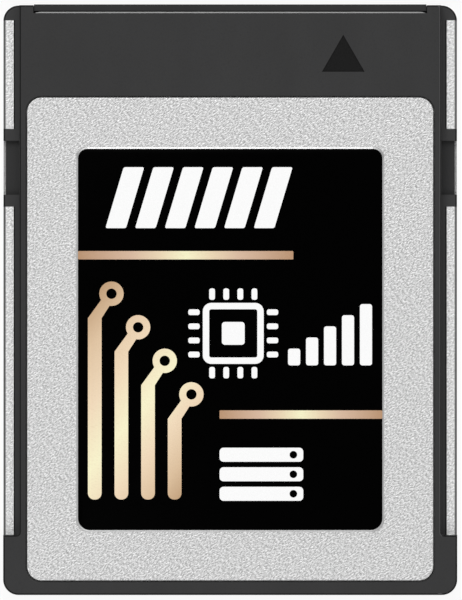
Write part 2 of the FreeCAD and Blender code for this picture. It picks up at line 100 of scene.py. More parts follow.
def addPlane(x0, x1, y0, y1, z):
    # Joins the mesh in hand and stays selected
    centre = ((x0 + x1) / 2, (y0 + y1) / 2, z)
    bpy.ops.mesh.select_all(action="DESELECT")
    bpy.ops.mesh.primitive_plane_add(size=1, location=centre)
    bpy.ops.transform.resize(value=(x1 - x0, y1 - y0, 1), center_override=centre)


def roundCorners(radius, segments):
    bpy.ops.mesh.bevel(offset=radius, segments=segments, affect="VERTICES")


def pickVertices(piece, test):
    # Selects the vertices whose place passes the test
    mesh = bmesh.from_edit_mesh(piece.data)
    bpy.ops.mesh.select_mode(type="VERT")
    bpy.ops.mesh.select_all(action="DESELECT")
    for vertex in mesh.verts:
        vertex.select = test(vertex.co)
    mesh.select_flush_mode()
    bmesh.update_edit_mesh(piece.data)


def roundTwoEnds(piece, x0, x1, y0, y1, z, rearRadius, frontRadius, segments):
    # Rounds the corners of the plane in hand, each end by its own radius, and selects it whole
    for y, radius in ((y0, rearRadius), (y1, frontRadius)):
        pickVertices(
            piece,
            lambda place: abs(place.z - z) < tiny
            and abs(place.y - y) < tiny
            and min(abs(place.x - x0), abs(place.x - x1)) < tiny,
        )
        roundCorners(radius, segments)
    bpy.ops.mesh.select_linked()


def joinOutline(levelBefore, level):
    # The plane just added gives only its outline, which is joined to the open rim of the mesh
    bpy.ops.mesh.delete(type="ONLY_FACE")
    bpy.ops.mesh.select_mode(type="EDGE")
    bpy.ops.mesh.select_all(action="DESELECT")
    bpy.ops.mesh.select_non_manifold()
    if level == levelBefore:
        bpy.ops.mesh.fill()
    else:
        bpy.ops.mesh.bridge_edge_loops()
    bpy.ops.mesh.select_mode(type="VERT")


def pickEdges(piece, test):
    # Selects the edges whose two ends both pass the test on their place
    mesh = bmesh.from_edit_mesh(piece.data)
    bpy.ops.mesh.select_mode(type="EDGE")
    bpy.ops.mesh.select_all(action="DESELECT")
    for edge in mesh.edges:
        if all(test(vertex.co) for vertex in edge.verts):
            edge.select = True
    mesh.select_flush_mode()
    bmesh.update_edit_mesh(piece.data)


def turnUpwards(piece):
    # An open sheet gets its top side facing up, so that its wall grows downwards
    bpy.ops.mesh.select_all(action="SELECT")
    bpy.ops.mesh.normals_make_consistent(inside=False)
    mesh = bmesh.from_edit_mesh(piece.data)
    if sum(face.normal.z * face.calc_area() for face in mesh.faces) < 0:
        bpy.ops.mesh.flip_normals()


def applyModifiers(piece):
    for modifier in list(piece.modifiers):
        bpy.ops.object.modifier_apply(modifier=modifier.name)


def finishPiece(piece, material, replaced):
    # Back to object mode, modifiers applied, smooth with crisp corners, on the card's body
    if piece.mode == "EDIT":
        bpy.ops.object.mode_set(mode="OBJECT")
    deselectAll()
    piece.select_set(True)
    bpy.context.view_layer.objects.active = piece
    applyModifiers(piece)
    bpy.ops.object.shade_smooth_by_angle(angle=math.radians(smoothBelow))
    piece.data.materials.clear()
    piece.data.materials.append(material)
    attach(piece, "root")
    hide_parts(*replaced)
    return piece


# Materials


class Finish:
    # A material with its Principled shader and the few node patterns that the card needs
    def __init__(self, name, roughness, metallic=0.0, specular=0.5):
        self.material = bpy.data.materials.new(name)
        self.material.use_nodes = True
        self.tree = self.material.node_tree
        self.shader = self.tree.nodes["Principled BSDF"]
        self.shader.inputs["Metallic"].default_value = metallic
        self.shader.inputs["Specular IOR Level"].default_value = specular
        self.shader.inputs["Roughness"].default_value = roughness

    def add(self, kind):
        return self.tree.nodes.new(kind)

    def join(self, source, target):
        self.tree.links.new(source, target)

    def place(self, stretch=(1, 1, 1), turn=0):
        # Object coordinates in metres; the pattern grows longer along each axis by its stretch
        coordinates = self.add("ShaderNodeTexCoord")
        mapping = self.add("ShaderNodeMapping")
        mapping.vector_type = "TEXTURE"
        mapping.inputs["Rotation"].default_value = (0, 0, math.radians(turn))
        mapping.inputs["Scale"].default_value = stretch
        self.join(coordinates.outputs["Object"], mapping.inputs["Vector"])
        return mapping.outputs["Vector"]

    def axis(self, name, turn=0):
        split = self.add("ShaderNodeSeparateXYZ")
        self.join(self.place(turn=turn), split.inputs["Vector"])
        return split.outputs[name]

    def band(self, name, low, high):
        # 1 between two places along an axis, else 0
        soft = 0.02 * mm
        place = self.axis(name)
        rise = self.spread(place, low - soft, low, 0, 1)
        fall = self.spread(place, high, high + soft, 1, 0)
        return self.multiply(rise, fall)

    def facingUp(self):
        # 1 on level faces, 0 on walls, below 0 underneath
        geometry = self.add("ShaderNodeNewGeometry")
        split = self.add("ShaderNodeSeparateXYZ")
        self.join(geometry.outputs["Normal"], split.inputs["Vector"])
        return split.outputs["Z"]

    def noise(self, featureSize, detail=2.0, stretch=(1, 1, 1), turn=0):
        pattern = self.add("ShaderNodeTexNoise")
        pattern.inputs["Scale"].default_value = 1 / featureSize
        pattern.inputs["Detail"].default_value = detail
        self.join(self.place(stretch, turn), pattern.inputs["Vector"])
        return pattern.outputs["Fac"]

    def ramp(self, value, stops):
        # stops: (position, (r, g, b))
        ramp = self.add("ShaderNodeValToRGB")
        points = ramp.color_ramp.elements
        while len(points) < len(stops):
            points.new(0.5)
        for point, (position, color) in zip(points, stops):
            point.position = position
            point.color = (*color, 1)
        self.join(value, ramp.inputs["Fac"])
        return ramp.outputs["Color"]

    def spread(self, value, low, high, newLow, newHigh):
        spread = self.add("ShaderNodeMapRange")
        spread.inputs["From Min"].default_value = low
        spread.inputs["From Max"].default_value = high
        spread.inputs["To Min"].default_value = newLow
        spread.inputs["To Max"].default_value = newHigh
        self.join(value, spread.inputs["Value"])
        return spread.outputs["Result"]

    def fromNoise(self, value, newLow, newHigh):
        # A noise hardly leaves the middle of its range
        return self.spread(value, 0.3, 0.7, newLow, newHigh)

    def multiply(self, valueA, valueB):
        product = self.add("ShaderNodeMath")
        product.operation = "MULTIPLY"
        self.join(valueA, product.inputs[0])
        self.join(valueB, product.inputs[1])
        return product.outputs["Value"]

    def mix(self, factor, colorA, colorB):
        # A color is either three numbers or a socket
        mix = self.add("ShaderNodeMix")
        mix.data_type = "RGBA"
        self.join(factor, mix.inputs["Factor"])
        for socket, color in ((mix.inputs[6], colorA), (mix.inputs[7], colorB)):
            if isinstance(color, tuple):
                socket.default_value = (*color, 1)
            else:
                self.join(color, socket)
        return mix.outputs[2]

    def color(self, source):
        self.join(source, self.shader.inputs["Base Color"])

    def roughness(self, source):
        self.join(source, self.shader.inputs["Roughness"])

    def bump(self, layers):
        # layers: (height socket, height of the relief in metres)
        normal = None
        for height, relief in layers:
            bump = self.add("ShaderNodeBump")
            bump.inputs["Strength"].default_value = 1
            bump.inputs["Distance"].default_value = relief
            self.join(height, bump.inputs["Height"])
            if normal is not None:
                self.join(normal, bump.inputs["Normal"])
            normal = bump.outputs["Normal"]
        self.join(normal, self.shader.inputs["Normal"])


grainedMetal = {
    "grainSize": 0.1 * mm,
    "grainStretch": (1.6, 0.85, 1.0),
    "grainTurn": 35,
    "grainContrast": (0.36, 0.64),
    "relief": 0.034 * mm,
    "fineSize": 0.05 * mm,
    "fineRelief": 0.006 * mm,
    "patchSize": 0.55 * mm,
    "patchFrom": (0.45, 0.8),
    "patchShare": 0.3,
    "patchTone": 0.47,                  # of dark and light together
    "roughnessSpread": 0.04,
    "bend": [                           # how far a face points up, and how much painted shade it gets there
        (0.06, (0, 0, 0)),
        (0.18, (1, 1, 1)),
        (0.87, (1, 1, 1)),
        (0.97, (0.6, 0.6, 0.6)),
        (0.997, (0, 0, 0)),
    ],
    "bendTone": 0.13,
    "lowWallTop": (1.55 * mm, 1.65 * mm),    # heights between which the top of the tray's low wall lies, toned darker
    "lowWallTopTone": 0.36,
    "lowWallTopFacing": (0.4, 0.8),
}


def makeGrainedMetal(name, dark, light, roughness):
    # Bead-blasted silver sheet: close pebbled grain, with painted shade round the bends
    look = grainedMetal
    finish = Finish(name, roughness, metallic=1.0)
    grain = finish.noise(look["grainSize"], 2.0, look["grainStretch"], look["grainTurn"])
    fine = finish.noise(look["fineSize"], 1.0)
    patches = finish.noise(look["patchSize"], 2.0)
    contrast = finish.spread(grain, *look["grainContrast"], 0, 1)
    tone = finish.mix(contrast, (dark,) * 3, (light,) * 3)
    inPatch = finish.spread(patches, *look["patchFrom"], 0, look["patchShare"])
    tone = finish.mix(inPatch, tone, ((dark + light) * look["patchTone"],) * 3)
    up = finish.facingUp()
    # The top of the tray's low wall is toned darker where it faces up
    edge = finish.spread(up, *look["lowWallTopFacing"], 0, 1)
    lowWallTop = finish.multiply(finish.band("Z", *look["lowWallTop"]), edge)
    tone = finish.mix(lowWallTop, tone, (look["lowWallTopTone"],) * 3)
    # Painted shade round the bends, by how far each face points up
    bend = finish.ramp(up, look["bend"])
    finish.color(finish.mix(bend, tone, (look["bendTone"],) * 3))
    change = look["roughnessSpread"]
    finish.roughness(finish.fromNoise(fine, roughness - change, roughness + change))
    finish.bump([(grain, look["relief"]), (fine, look["fineRelief"])])
    return finish.material


smoothMetal = {
    "hazeSize": 0.3 * mm,
    "fineSize": 0.04 * mm,
    "fineRelief": 0.0008 * mm,
    "roughnessSpread": 0.04,
}


def makeSmoothMetal(name, dark, light, roughness):
    # The same sheet where a tool has pressed it flat: only a fine haze is left
    look = smoothMetal
    finish = Finish(name, roughness, metallic=1.0)
    haze = finish.noise(look["hazeSize"])
    fine = finish.noise(look["fineSize"])
    finish.color(finish.mix(finish.fromNoise(haze, 0, 1), (dark,) * 3, (light,) * 3))
    change = look["roughnessSpread"]
    finish.roughness(finish.fromNoise(fine, roughness - change, roughness + change))
    finish.bump([(fine, look["fineRelief"])])
    return finish.material


mouldedPlastic = {
    "sparkSize": 0.09 * mm,
    "sparkRelief": 0.004 * mm,
    "flowSize": 2.6 * mm,               # of the faint drift of tone where the melt ran
    "flowStretch": (1.0, 2.5, 1.0),
    "flowContrast": (0.35, 0.65),
    "pitTone": 0.78,
    "pitFrom": (0.5, 0.8),
    "pitShare": 0.6,
    "roughness": (0.46, 0.58),
    "specular": 0.16,
    "wallFacing": (0.1, 0.5),           # how far up walls point, and from where a face is no wall; walls get painted shade
    "wallTone": 0.45,                   # painted shade on walls; tones are against level faces
    # Rounded edges get painted shade, less of it round the cover's window
    "levelFacing": (0.98, 0.999),
    "edgeTone": 0.09,
    "windowEdgeTone": 0.8,
    "windowMargin": 0.1 * mm,
    "paintedHighlightEdge": (13.55 * mm, 13.8 * mm),    # places across of the edge above the right rail, which gets a painted highlight
    "paintedHighlightFacing": (0.86, 0.94),
    "rubbedTone": 2.2,
    "ledge": (2.31 * mm, 2.47 * mm),    # heights between which the guide rails' tops lie, which get painted light
    "ledgeTone": 1.3,
    "paintedShadeGroove": (2.2 * mm, 2.27 * mm),       # and the floor of the groove beside the tray's flanges, which gets painted shade
}


def makeMouldedPlastic(name, dark, light, sparkSize=mouldedPlastic["sparkSize"]):
    # Spark-eroded mould texture on the level faces, plainer on walls and edges, with painted shade
    # on walls, rounded edges and the groove floor, painted light on the rail tops and a painted
    # highlight on the right rail's edge
    look = mouldedPlastic

    def toned(part, color):
        return tuple(channel * look[part + "Tone"] for channel in color)

    finish = Finish(name, 0.5, specular=look["specular"])
    spark = finish.noise(sparkSize, 3.0)
    flow = finish.noise(look["flowSize"], 2.0, look["flowStretch"])
    tone = finish.mix(finish.spread(flow, *look["flowContrast"], 0, 1), dark, light)
    inPit = finish.spread(spark, *look["pitFrom"], 0, look["pitShare"])
    tone = finish.mix(inPit, tone, toned("pit", dark))
    # Painted light on the guide rails' tops
    tone = finish.mix(finish.band("Z", *look["ledge"]), tone, toned("ledge", light))
    # Painted shade on the groove floor beside the tray's flanges
    tone = finish.mix(finish.band("Z", *look["paintedShadeGroove"]), tone, toned("edge", dark))
    margin = look["windowMargin"]
    inWindow = finish.multiply(
        finish.band("X", coverLow.x - margin, coverHigh.x + margin),
        finish.band("Y", coverLow.y - margin, coverHigh.y),
    )
    up = finish.facingUp()
    # The edge above the right guide rail gets a painted highlight along its upper half, the other
    # edges painted shade
    rubbed = finish.multiply(
        finish.band("X", *look["paintedHighlightEdge"]), finish.spread(up, *look["paintedHighlightFacing"], 0, 1)
    )
    edge = finish.mix(rubbed, toned("edge", dark), toned("rubbed", light))
    edge = finish.mix(inWindow, edge, toned("windowEdge", dark))
    # Painted shade on rounded edges and walls, by how far each face points up
    tone = finish.mix(finish.spread(up, *look["levelFacing"], 0, 1), edge, tone)
    tone = finish.mix(finish.spread(up, *look["wallFacing"], 0, 1), toned("wall", dark), tone)
    finish.color(tone)
    finish.roughness(finish.fromNoise(spark, *look["roughness"]))
    finish.bump([(spark, look["sparkRelief"])])
    return finish.material


labelFinish = {
    "dark": (0.0001,) * 3,
    "light": (0.0004,) * 3,
    "peelSize": 0.6 * mm,
    "peelRelief": 0.0015 * mm,
    "speckSize": 0.05 * mm,
    "speckRelief": 0.0003 * mm,
    "speckContrast": (0.4, 0.7),
    "roughness": (0.23, 0.29),
    "specular": 0.012,
}


def makeLabelFilm():
    # Black screen-printed film: nearly even, with a faint orange-peel
    look = labelFinish
    finish = Finish("label black film", 0.26, specular=look["specular"])
    peel = finish.noise(look["peelSize"], 1.0)
    speck = finish.noise(look["speckSize"])
    contrast = finish.spread(speck, *look["speckContrast"], 0, 1)
    finish.color(finish.mix(contrast, look["dark"], look["light"]))
    finish.roughness(finish.fromNoise(peel, *look["roughness"]))
    finish.bump([(peel, look["peelRelief"]), (speck, look["speckRelief"])])
    return finish.material


inkFinishes = {
    # Matt black fill of the sunk arrow, and opaque white with the faint mesh of its screen
    "arrow fill": {
        "dark": (0.0062,) * 3,
        "light": (0.0098,) * 3,
        "contrast": (0.3, 0.7),
        "relief": 0.002 * mm,
        "roughness": 0.6,
        "specular": 0.1,
    },
    "white screen ink": {
        "dark": (0.96,) * 3,
        "light": (1.0,) * 3,
        "contrast": (0.35, 0.65),
        "relief": 0.001 * mm,
        "roughness": 0.5,
        "specular": 0.3,
    },
    "grainSize": 0.07 * mm,
}


def makeInk(name):
    look = inkFinishes[name]
    finish = Finish(name, look["roughness"], specular=look["specular"])
    grain = finish.noise(inkFinishes["grainSize"])
    contrast = finish.spread(grain, *look["contrast"], 0, 1)
    finish.color(finish.mix(contrast, look["dark"], look["light"]))
    finish.bump([(grain, look["relief"])])
    return finish.material


foilFinish = {
    "grainSize": 0.08 * mm,
    "grainStretch": (2.0, 0.6, 1.0),
    "relief": 0.0012 * mm,
    "worn": (0.62, 0.44, 0.27),
    "wornFrom": (0.5, 0.9),
    "wornShare": 0.3,
    "roughness": (0.34, 0.44),
    "metallic": 0.15,
}


def makeGoldFoil(name, start, end, stops, turn=0):
    # Satin foil whose sheen is painted into its colour, a ramp that runs across it, turned from
    # left-to-right
    look = foilFinish
    finish = Finish(name, 0.38, metallic=look["metallic"])
    paintedSheen = finish.ramp(finish.spread(finish.axis("X", turn), start, end, 0, 1), stops)
    grain = finish.noise(look["grainSize"], 2.0, look["grainStretch"])
    wornHere = finish.spread(grain, *look["wornFrom"], 0, look["wornShare"])
    finish.color(finish.mix(wornHere, paintedSheen, look["worn"]))
    finish.roughness(finish.fromNoise(grain, *look["roughness"]))
    finish.bump([(grain, look["relief"])])
    return finish.material


platedFinish = {
    "dark": (0.86, 0.6, 0.22),
    "light": (0.97, 0.76, 0.36),
    "scratchSize": 0.05 * mm,
    "scratchStretch": (0.35, 8.0, 1.0),    # along the way the card slides in
    "scratchContrast": (0.35, 0.7),
    "relief": 0.0006 * mm,
    "roughness": (0.2, 0.32),
}


def makePlatedGold():
    look = platedFinish
    finish = Finish("plated gold", 0.24, metallic=1.0)
    scratch = finish.noise(look["scratchSize"], 2.0, look["scratchStretch"])
    contrast = finish.spread(scratch, *look["scratchContrast"], 0, 1)
    finish.color(finish.mix(contrast, look["dark"], look["light"]))
    finish.roughness(finish.fromNoise(scratch, *look["roughness"]))
    finish.bump([(scratch, look["relief"])])
    return finish.material


def makePlain(name, dark, light, featureSize, relief, roughness, metallic=0.0):
    # A mottled, lightly grained finish for the parts sealed inside
    change = 0.05
    finish = Finish(name, roughness, metallic, specular=0.4)
    grain = finish.noise(featureSize, 3.0)
    finish.color(finish.mix(finish.fromNoise(grain, 0, 1), dark, light))
    finish.roughness(finish.fromNoise(grain, roughness - change, roughness + change))
    finish.bump([(grain, relief)])
    return finish.material


boardFinish = {
    "dark": (0.008, 0.07, 0.025),
    "light": (0.015, 0.12, 0.045),
    "yarnPitch": 0.45 * mm,
    "wander": 0.4,
    "relief": 0.002 * mm,
    "roughness": 0.35,
}


def makeBoardLaminate():
    # Green solder mask over woven glass, the weave just telling through
    look = boardFinish
    waveLength = 20    # of a wave texture at scale 1
    finish = Finish("board laminate", look["roughness"])
    weave = []
    for direction in ("X", "Y"):
        bands = finish.add("ShaderNodeTexWave")
        bands.bands_direction = direction
        bands.inputs["Scale"].default_value = 1 / look["yarnPitch"] / waveLength
        bands.inputs["Distortion"].default_value = look["wander"]
        finish.join(finish.place(), bands.inputs["Vector"])
        weave.append(bands.outputs["Fac"])
    cloth = finish.multiply(*weave)
    finish.color(finish.mix(cloth, look["dark"], look["light"]))
    finish.bump([(cloth, look["relief"])])
    return finish.material


framePlastic = makeMouldedPlastic(
    "frame plastic", (0.0337, 0.0337, 0.0342), (0.0368, 0.0368, 0.0374)
)
connectorPlastic = makeMouldedPlastic(
    "connector plastic", (0.0255, 0.0255, 0.026), (0.0285, 0.0285, 0.029), sparkSize=0.06 * mm
)
coverMetal = makeGrainedMetal("cover metal", 0.42, 0.89, 0.46)
trayMetal = makeGrainedMetal("tray metal", 0.56, 1.0, 0.38)
rimMetal = makeSmoothMetal("rim metal", 0.52, 0.56, 0.4)
coinedMetal = makeSmoothMetal("coined metal", 0.5, 0.55, 0.36)
paintedShadeCornerMetal = makeSmoothMetal("coined metal with painted corner shade", 0.36, 0.42, 0.4)
labelFilm = makeLabelFilm()
arrowInk = makeInk("arrow fill")
whiteInk = makeInk("white screen ink")
platedGold = makePlatedGold()
boardLaminate = makeBoardLaminate()
# Dark and light color, size of the grain, its relief, roughness and metallic
chipResin = makePlain("chip resin", (0.012,) * 3, (0.022,) * 3, 0.05 * mm, 0.003 * mm, 0.55)
ferrite = makePlain(
    "ferrite", (0.045, 0.044, 0.05), (0.075, 0.074, 0.08), 0.06 * mm, 0.003 * mm, 0.6
)
capacitorCeramic = makePlain(
    "capacitor ceramic", (0.36, 0.22, 0.12), (0.45, 0.3, 0.18), 0.08 * mm, 0.002 * mm, 0.45
)
resistorCeramic = makePlain(
    "resistor ceramic", (0.02,) * 3, (0.05,) * 3, 0.08 * mm, 0.002 * mm, 0.4
)
canMetal = makePlain(
    "can metal", (0.6, 0.6, 0.58), (0.74, 0.73, 0.7), 0.3 * mm, 0.001 * mm, 0.3, 1.0
)
thermalGel = makePlain(
    "thermal gel", (0.3, 0.42, 0.5), (0.38, 0.5, 0.58), 0.15 * mm, 0.004 * mm, 0.6
)

nodeMaterials = {
    # How a node's name starts, and what it is made of
    "frame": framePlastic,
    "bottom_cover": trayMetal,
    "connector_housing": connectorPlastic,
    "contact_": platedGold,
    "circuit_board": boardLaminate,
    "flash_chip_": chipResin,
    "controller_chip": chipResin,
    "cache_chip": chipResin,
    "power_chip": chipResin,
    "inductor_": ferrite,
    "crystal": canMetal,
    "capacitor_": capacitorCeramic,
    "resistor_": resistorCeramic,
    "upper_thermal_pad": thermalGel,
    "lower_thermal_pad": thermalGel,
    "top_cover": coverMetal,
    "label": labelFilm,
}


def dressNodes():
    # The print's nodes pass for label here, until their pieces replace them
    for name, node in nodes.items():
        for start, material in nodeMaterials.items():
            if name.startswith(start):
                node.data.materials.clear()
                node.data.materials.append(material)


dressNodes()
print("materials ready")

# Top cover: a stamped plate with its panel and the label's bed raised in steps

coverShape = {
    "rimDrop": 0.2 * mm,       # below the panel
    "panelSide": 0.25 * mm,    # from the rim's edge to the panel's
    "panelRear": 0.25 * mm,
    "panelFront": 5.595 * mm,
    "panelRadius": 0.95 * mm,
    "bedHeight": 0.03 * mm,
    "bedSlope": 0.12 * mm,
    "bedCurve": [(0.25, 0.12), (0.75, 0.88)],    # shares of the slope's width and drop
    "bedFrontRadius": 0.62 * mm,
    "bedRearRadius": 0.77 * mm,
    "flatMargin": 0.04 * mm,   # keeps the flats flat beside each step
    "sheet": 0.2 * mm,
    "edgeRound": 0.04 * mm,
    "rimRound": 0.025 * mm,
    "cornerSegments": 12,
}


def makeCoverPanel():
    shape = coverShape
    low, high = coverLow, coverHigh
    bedTop = high.z
    panelTop = bedTop - shape["bedHeight"]
    rimTop = panelTop - shape["rimDrop"]
    piece = startPiece("coverPanel")
    segments = shape["cornerSegments"]

    def outline(grow, z, rearRadius, frontRadius, x0, x1, y0, y1):
        sides = (x0 - grow, x1 + grow, y0 - grow, y1 + grow, z)
        addPlane(*sides)
        roundTwoEnds(piece, *sides, rearRadius + grow, frontRadius + grow, segments)

    bed = (
        shape["bedRearRadius"],
        shape["bedFrontRadius"],
        labelLow.x,
        labelHigh.x,
        labelLow.y,
        labelHigh.y,
    )
    panel = (
        shape["panelRadius"],
        shape["panelRadius"],
        low.x + shape["panelSide"],
        high.x - shape["panelSide"],
        low.y + shape["panelRear"],
        high.y - shape["panelFront"],
    )
    rimRadius = shape["panelRadius"] + shape["panelSide"]
    rim = (rimRadius, rimRadius, low.x, high.x, low.y, high.y)
    slope, flat = shape["bedSlope"], shape["flatMargin"]
    outline(-slope, bedTop, *bed)
    steps = [(0, bedTop, *bed)]
    for across, down in shape["bedCurve"]:
        steps.append((slope * across, bedTop - shape["bedHeight"] * down, *bed))
    steps += [
        (slope, panelTop, *bed),
        (slope + flat, panelTop, *bed),
        (-flat * 3, panelTop, *panel),
        (0, panelTop, *panel),
        (0, rimTop, *panel),
        (-shape["rimRound"], rimTop, *rim),
        (0, rimTop - shape["rimRound"], *rim),
    ]
    level = bedTop
    for step in steps:
        outline(*step)
        joinOutline(level, step[1])
        level = step[1]
    turnUpwards(piece)
    bpy.ops.object.mode_set(mode="OBJECT")
    edges = piece.modifiers.new("edges", "BEVEL")
    edges.width = shape["edgeRound"]
    edges.segments = 3
    edges.limit_method = "ANGLE"
    edges.angle_limit = math.radians(50)
    wall = piece.modifiers.new("wall", "SOLIDIFY")
    wall.thickness = shape["sheet"]
    wall.offset = -1
    finishPiece(piece, coverMetal, ["top_cover"])
    # The rim and the coined step round the label are smooth; the step's front corners are a little
    # rougher and get painted shade
    for metal in (rimMetal, coinedMetal, paintedShadeCornerMetal):
        piece.data.materials.append(metal)
    straight = (labelHigh.x - labelLow.x) / 2 - shape["bedFrontRadius"]
    for face in piece.data.polygons:
        middle = face.center
        inLabel = labelLow.x - slope < middle.x < labelHigh.x + slope
        inLabel = inLabel and labelLow.y - slope < middle.y < labelHigh.y + slope
        if middle.z < rimTop + shape["edgeRound"] / 4:
            face.material_index = 1
        elif inLabel and face.normal.z > 0 and middle.z > panelTop:
            # Painted shade: front-facing faces at the step's corners take a darker copy of the
            # coined metal
            inCorner = abs(middle.x - (labelLow.x + labelHigh.x) / 2) > straight
            face.material_index = 3 if inCorner and face.normal.y > 0.02 else 2
    return piece


makeCoverPanel()
print("cover ready")

# Label film and what is printed on it

labelShape = {"rearRadius": 0.77 * mm, "frontRadius": 0.62 * mm, "segments": 10, "edge": 0.012 * mm}


def makeLabel():
    shape = labelShape
    low, high = labelLow, labelHigh
    piece = startPiece("labelPlate")
    sides = (low.x, high.x, low.y, high.y, low.z)
    addPlane(*sides)
    roundTwoEnds(piece, *sides, shape["rearRadius"], shape["frontRadius"], shape["segments"])
    rise = high.z - low.z
    bpy.ops.mesh.extrude_region_move(TRANSFORM_OT_translate={"value": (0, 0, rise)})
    pickEdges(piece, lambda place: place.z > high.z - rise / 4)
    bpy.ops.mesh.bevel(offset=shape["edge"], segments=2)
    bpy.ops.mesh.select_all(action="SELECT")
    bpy.ops.mesh.normals_make_consistent(inside=False)
    return finishPiece(piece, labelFilm, ["label"])


makeLabel()
print("label ready")

# The print is laid out on a sheet, across and down from its upper left corner, in its own units

sheet = {"width": 20.0, "length": 25.0, "thickness": 0.02 * mm}
sheetScale = (
    (labelHigh.x - labelLow.x) / sheet["width"],
    (labelHigh.y - labelLow.y) / sheet["length"],
)
printLevel = labelHigh.z


def onSheet(across, down):
    return labelLow.x + across * sheetScale[0], labelHigh.y - down * sheetScale[1]


def addPatch(across0, across1, down0, down1):
    # A flat rectangle of print
    x0, y0 = onSheet(across0, down1)
    x1, y1 = onSheet(across1, down0)
    addPlane(x0, x1, y0, y1, printLevel)


def addRing(across, down, radius, segments):
    # A round outline without a face
    bpy.ops.mesh.select_all(action="DESELECT")
    centre = (*onSheet(across, down), printLevel)
    bpy.ops.mesh.primitive_circle_add(
        vertices=segments, radius=radius * sheetScale[0], location=centre
    )


def copyAlong(across, down, times):
    # Repeats what is selected at an even pitch
    for _ in range(times):
        move = (across * sheetScale[0], -down * sheetScale[1], 0)
        bpy.ops.mesh.duplicate_move(TRANSFORM_OT_translate={"value": move})


def raisePrint(piece):
    # Gives the flat print its thickness
    turnUpwards(piece)
    bpy.ops.mesh.select_all(action="SELECT")
    move = (0, 0, sheet["thickness"])
    bpy.ops.mesh.extrude_region_move(TRANSFORM_OT_translate={"value": move})
    bpy.ops.mesh.select_all(action="SELECT")
    bpy.ops.mesh.normals_make_consistent(inside=False)


foilStops = {
    # Colors of the painted sheen as they read across the foil, from its left edge to its right
    "stripe": [
        (0.0, (0.5, 0.29, 0.16)),
        (0.25, (0.72, 0.5, 0.36)),
        (0.38, (0.87, 0.71, 0.48)),
        (0.5, (0.98, 0.95, 0.62)),
        (0.62, (0.87, 0.71, 0.48)),
        (0.75, (0.72, 0.5, 0.36)),
        (1.0, (0.5, 0.29, 0.16)),
    ],
    "traces": [
        (0.0, (0.56, 0.36, 0.2)),
        (0.14, (0.78, 0.57, 0.37)),
        (0.34, (0.93, 0.74, 0.52)),
        (0.54, (1.0, 0.95, 0.64)),
        (0.72, (0.93, 0.74, 0.52)),
        (0.88, (0.76, 0.55, 0.35)),
        (1.0, (0.55, 0.35, 0.19)),
    ],
}

stripeShape = {
    "upper": (0.0, 14.15, 6.7, 7.25),    # left, right, top, bottom
    "lower": (9.3, 20.0, 17.15, 17.7),
    "cornerRound": 0.06 * mm,
}


def makeStripe(name, left, right, top, bottom):
    piece = startPiece(name)
    addPatch(left, right, top, bottom)
    roundCorners(stripeShape["cornerRound"], 4)
    raisePrint(piece)
    start, end = onSheet(left, 0)[0], onSheet(right, 0)[0]
    foil = makeGoldFoil(name + " foil", start, end, foilStops["stripe"])
    finishPiece(piece, foil, ["label_gold_foil"])


makeStripe("upperStripe", *stripeShape["upper"])
makeStripe("lowerStripe", *stripeShape["lower"])

traceShape = {
    "count": 4,
    "pitch": 1.75,
    "across": 1.1,        # of the first trace's foot
    "width": 0.9,
    "foot": 23.0,         # down the sheet
    "head": 9.5,
    "stagger": 2.2,       # from one head to the next
    "jog": (1.1, 1.6),
    "padRadius": 0.8,
    "holeRadius": 0.34,
    "footRound": 0.42 * mm,
    "headNarrowing": 0.85,
    "reach": 0.6 * mm,    # to each side, where nothing but the trace itself lies
    "cutThrough": 0.05 * mm,
    "discSegments": 48,
    "paintedSheenTurn": -40,
}


def makeTraces():
    shape = traceShape
    half = shape["width"] / 2
    jogAcross, jogDown = shape["jog"]
    piece = startPiece("goldTraces")
    for i in range(shape["count"]):
        across = shape["across"] + shape["pitch"] * i
        head = shape["head"] + shape["stagger"] * i
        foot = shape["foot"]
        addPatch(across - half, across + half, head + jogDown, foot)
        footY = onSheet(0, foot)[1]
        kneeY = onSheet(0, head + jogDown)[1]
        inTrace = lambda place: abs(place.x - onSheet(across, 0)[0]) < shape["reach"]
        pickVertices(piece, lambda place: inTrace(place) and abs(place.y - footY) < tiny)
        roundCorners(shape["footRound"], 8)
        pickEdges(piece, lambda place: inTrace(place) and abs(place.y - kneeY) < tiny)
        move = (jogAcross * sheetScale[0], jogDown * sheetScale[1], 0)
        bpy.ops.mesh.extrude_region_move(TRANSFORM_OT_translate={"value": move})
        bpy.ops.transform.resize(
            value=(shape["headNarrowing"], 1, 1),
            center_override=(*onSheet(across + jogAcross, head), printLevel),
        )
    raisePrint(piece)
    bpy.ops.object.mode_set(mode="OBJECT")
    pads = makeTraceDiscs("padDiscs", shape["padRadius"], 0)
    holes = makeTraceDiscs("holeDiscs", shape["holeRadius"], shape["cutThrough"])
    for other, operation in ((pads, "UNION"), (holes, "DIFFERENCE")):
        cut = piece.modifiers.new(operation.lower(), "BOOLEAN")
        cut.object = other
        cut.operation = operation
        cut.solver = "EXACT"
    turn = math.radians(shape["paintedSheenTurn"])
    last = (shape["count"] - 1) * shape["pitch"]
    firstHead = onSheet(shape["across"] + jogAcross - half, shape["head"] - half)
    lastFoot = onSheet(shape["across"] + last + half, shape["foot"])
    start, end = (x * math.cos(turn) + y * math.sin(turn) for x, y in (firstHead, lastFoot))
    foil = makeGoldFoil("trace foil", start, end, foilStops["traces"], shape["paintedSheenTurn"])
    finishPiece(piece, foil, ["label_gold_foil"])
    for other in (pads, holes):
        bpy.data.objects.remove(other)


